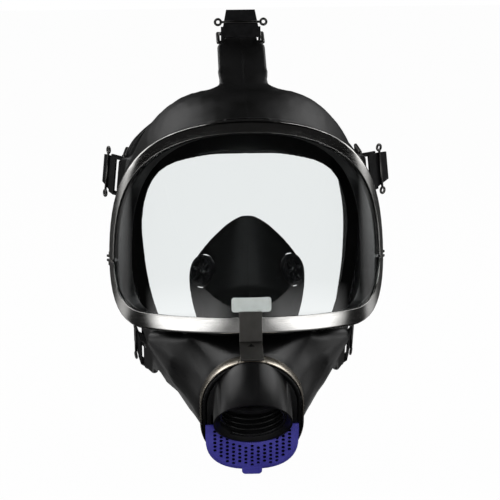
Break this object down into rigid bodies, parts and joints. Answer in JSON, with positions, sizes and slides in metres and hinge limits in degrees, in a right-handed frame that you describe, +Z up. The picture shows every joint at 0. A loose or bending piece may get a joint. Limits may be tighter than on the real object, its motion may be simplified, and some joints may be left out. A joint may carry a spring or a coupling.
{
  "type": "full-face respirator mask",
  "caption": "Full-face respirator mask with a wide curved visor in a steel clamp frame, rubber face blank, inner nose cup, threaded filter connector, perforated valve cover and strap harness.",
  "frame": {"origin": "centre of the face seal, in the wearer's face plane", "axes": "+Z up, +Y back towards the head, +X to the right when looking at the visor"},
  "size_m": [0.1883, 0.2958, 0.2814],
  "materials": {
    "clear_lens": "clear polycarbonate",
    "stainless_steel": "brushed stainless sheet",
    "band_steel": "bright steel",
    "face_rubber": "satin moulded rubber",
    "inner_rubber": "matt moulded rubber",
    "strap_rubber": "matt moulded rubber",
    "black_plastic": "satin moulded plastic",
    "blue_plastic": "moulded plastic",
    "valve_rubber": "soft matt rubber",
    "dark_plate": "dark coated steel plate",
    "buckle_wire": "dark coated steel wire"
  },
  "bodies": {
    "mask": {"visor_lens": "clear_lens", "upper_clamp_frame": "stainless_steel", "lower_clamp_frame": "stainless_steel", "frame_screws": "band_steel", "frame_nuts": "band_steel", "face_blank": "face_rubber", "inner_mask": "inner_rubber", "check_valve_seat_left": "black_plastic", "check_valve_seat_right": "black_plastic", "connector_housing": "black_plastic", "clamp_band": "band_steel", "clamp_band_screw": "band_steel", "frame_bracket": "stainless_steel", "thread_gasket": "valve_rubber", "inhalation_valve_seat": "black_plastic", "exhalation_valve_seat": "black_plastic", "head_harness": "strap_rubber", "buckle_bail_top": "buckle_wire", "buckle_bail_temple_left": "buckle_wire", "buckle_bail_temple_right": "buckle_wire", "buckle_bail_cheek_left": "buckle_wire", "buckle_bail_cheek_right": "buckle_wire"},
    "lever_top": {"buckle_lever_top": "dark_plate", "buckle_wire_top": "buckle_wire"},
    "lever_temple_left": {"buckle_lever_temple_left": "dark_plate", "buckle_wire_temple_left": "buckle_wire"},
    "lever_temple_right": {"buckle_lever_temple_right": "dark_plate", "buckle_wire_temple_right": "buckle_wire"},
    "lever_cheek_left": {"buckle_lever_cheek_left": "dark_plate", "buckle_wire_cheek_left": "buckle_wire"},
    "lever_cheek_right": {"buckle_lever_cheek_right": "dark_plate", "buckle_wire_cheek_right": "buckle_wire"},
    "exhalation_cover": {"exhalation_cover": "blue_plastic"},
    "inhalation_disc": {"inhalation_valve_disc": "valve_rubber"},
    "exhalation_disc": {"exhalation_valve_disc": "valve_rubber"},
    "check_disc_right": {"check_valve_disc_right": "valve_rubber"},
    "check_disc_left": {"check_valve_disc_left": "valve_rubber"}
  },
  "joints": [
    {"name": "lever_top_pivot", "type": "hinge", "parent": "mask", "child": "lever_top", "pos_m": [0, 0.017, 0.109], "axis": [1, 0, 0], "range_deg": [-62, 18]},
    {"name": "lever_temple_left_pivot", "type": "hinge", "parent": "mask", "child": "lever_temple_left", "pos_m": [-0.078, 0.012, 0.023], "axis": [0.0976, -0.1952, 0.9759], "range_deg": [-30, 50]},
    {"name": "lever_temple_right_pivot", "type": "hinge", "parent": "mask", "child": "lever_temple_right", "pos_m": [0.078, 0.012, 0.023], "axis": [0.0976, 0.1952, -0.9759], "range_deg": [-50, 30]},
    {"name": "lever_cheek_left_pivot", "type": "hinge", "parent": "mask", "child": "lever_cheek_left", "pos_m": [-0.063, 0.013, -0.094], "axis": [0, -0.6549, 0.7557], "range_deg": [-8, 72]},
    {"name": "lever_cheek_right_pivot", "type": "hinge", "parent": "mask", "child": "lever_cheek_right", "pos_m": [0.063, 0.013, -0.094], "axis": [0, 0.6549, -0.7557], "range_deg": [-8, 72]},
    {"name": "cover_pull", "type": "slide", "parent": "mask", "child": "exhalation_cover", "axis": [0, -0.6428, -0.766], "range_m": [0, 0.012]},
    {"name": "inhalation_disc_lift", "type": "slide", "parent": "mask", "child": "inhalation_disc", "axis": [0, 0.6428, 0.766], "range_m": [0, 0.0016], "stiffness_N_per_m": 20},
    {"name": "exhalation_disc_lift", "type": "slide", "parent": "mask", "child": "exhalation_disc", "axis": [0, -0.9397, -0.342], "range_m": [0, 0.002], "stiffness_N_per_m": 20},
    {"name": "check_disc_right_lift", "type": "slide", "parent": "mask", "child": "check_disc_right", "axis": [-0.7559, 0.6074, -0.2444], "range_m": [0, 0.0015], "stiffness_N_per_m": 20},
    {"name": "check_disc_left_lift", "type": "slide", "parent": "mask", "child": "check_disc_left", "axis": [0.7559, 0.6074, -0.2444], "range_m": [0, 0.0015], "stiffness_N_per_m": 20}
  ]
}
